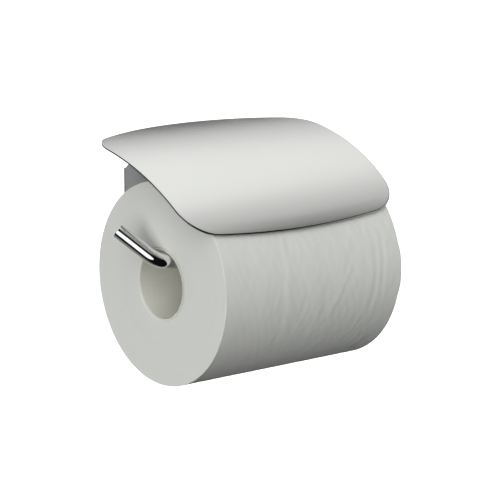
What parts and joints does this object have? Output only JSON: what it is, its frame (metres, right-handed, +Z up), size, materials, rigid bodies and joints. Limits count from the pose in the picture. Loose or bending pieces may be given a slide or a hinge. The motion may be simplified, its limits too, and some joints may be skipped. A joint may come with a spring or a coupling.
{
  "type": "toilet paper holder",
  "caption": "Wall-mounted toilet paper holder with a bent chrome rod open at one end, a curved satin metal lid hinged on a wall bracket, and a full roll of paper on the rod.",
  "frame": {"origin": "centre of the bracket's wall face, on the wall", "axes": "+Y into the wall, +X to the right as seen from the room, +Z up; the roll, the rod's inner run and the hinge pin lie along X"},
  "size_m": [0.1557, 0.1094, 0.1237],
  "materials": {
    "lid_metal": "fine satin, with a polished edge",
    "bracket_metal": "satin chrome on die-cast zinc",
    "rod_chrome": "mirror",
    "leaf_metal": "satin",
    "pin_steel": "machined",
    "zinc_steel": "zinc plated sheet",
    "black_screw": "blackened steel",
    "gasket": "matt foam rubber",
    "bumper": "soft grey elastomer",
    "bush_plastic": "natural acetal",
    "cardboard": "wound grey-brown card",
    "paper": "soft unprinted tissue"
  },
  "bodies": {
    "bracket": {"wall_gasket": "gasket", "wall_plate": "zinc_steel", "bracket_housing": "bracket_metal", "housing_grub_screws": "black_screw", "rod_grub_screw": "black_screw", "rod_collar": "rod_chrome", "roll_rod": "rod_chrome", "lid_stop_bumpers": "bumper", "hinge_bush_left": "bush_plastic", "hinge_bush_right": "bush_plastic", "hinge_cap_left": "bracket_metal", "hinge_cap_right": "bracket_metal"},
    "lid": {"lid_plate": "lid_metal", "lid_hinge_barrel": "leaf_metal", "lid_studs": "pin_steel", "lid_nuts": "pin_steel", "hinge_pin": "pin_steel", "hinge_washers": "bush_plastic"},
    "roll": {"paper_roll": "paper", "cardboard_core": "cardboard"}
  },
  "joints": [
    {"name": "lid_hinge", "type": "hinge", "parent": "bracket", "child": "lid", "pos_m": [0, -0.01, 0.028], "axis": [-1, 0, 0], "range_deg": [0, 100]},
    {"name": "roll_spin", "type": "hinge", "parent": "bracket", "child": "roll", "pos_m": [0.003, -0.057, -0.0373], "axis": [1, 0, 0], "continuous": true}
  ]
}
